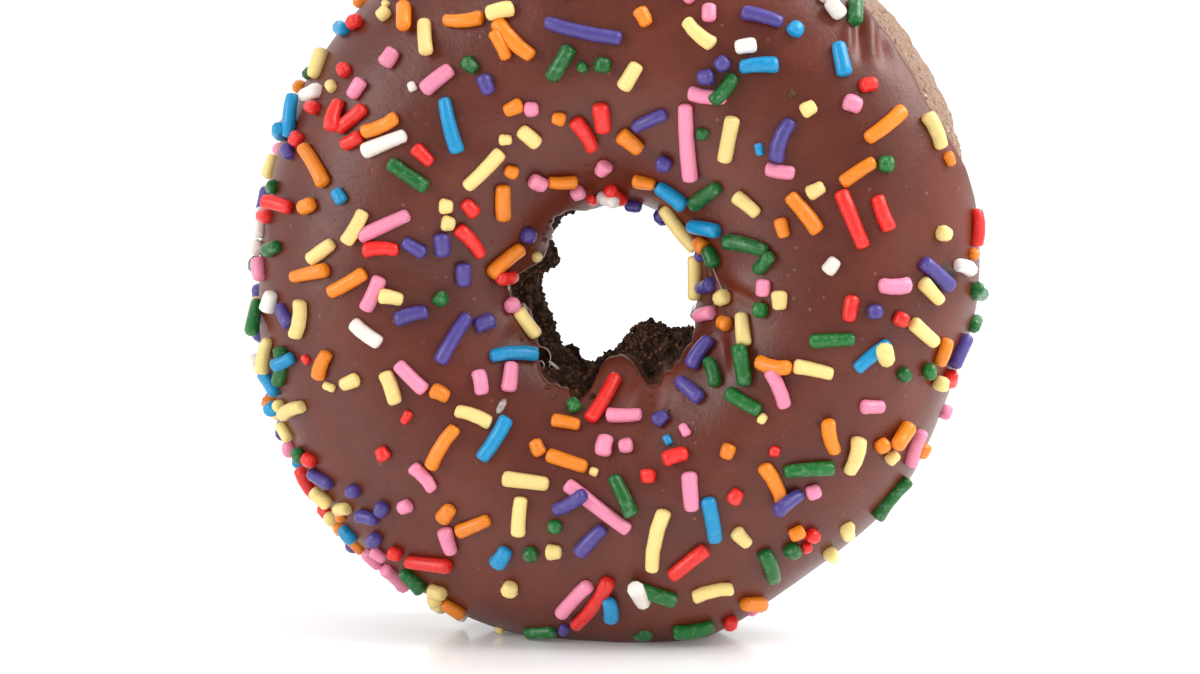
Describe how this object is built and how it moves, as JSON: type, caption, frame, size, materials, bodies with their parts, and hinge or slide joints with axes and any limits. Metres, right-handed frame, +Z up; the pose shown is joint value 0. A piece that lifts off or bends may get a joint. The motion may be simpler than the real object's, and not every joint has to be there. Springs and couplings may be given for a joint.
{
  "type": "chocolate doughnut",
  "caption": "Round chocolate cake doughnut with a hole, iced with chocolate on one face and scattered with bright sugar sprinkles, standing on its rim.",
  "frame": {"origin": "on the floor that the doughnut stands on, below the middle of its box", "axes": "+Z up, -Y out of the iced face along the hole's axis, +X to the right as seen from the iced face"},
  "size_m": [0.0879, 0.0327, 0.086],
  "materials": {
    "cake": "matt fried chocolate cake, torn dark crumb in the hole",
    "icing": "set chocolate icing with a soft sheen",
    "sprinkles": "sugar sprinkles in eight colours, waxy"
  },
  "bodies": {
    "root": {"cake": "cake", "icing": "icing"}
  },
  "joints": []
}
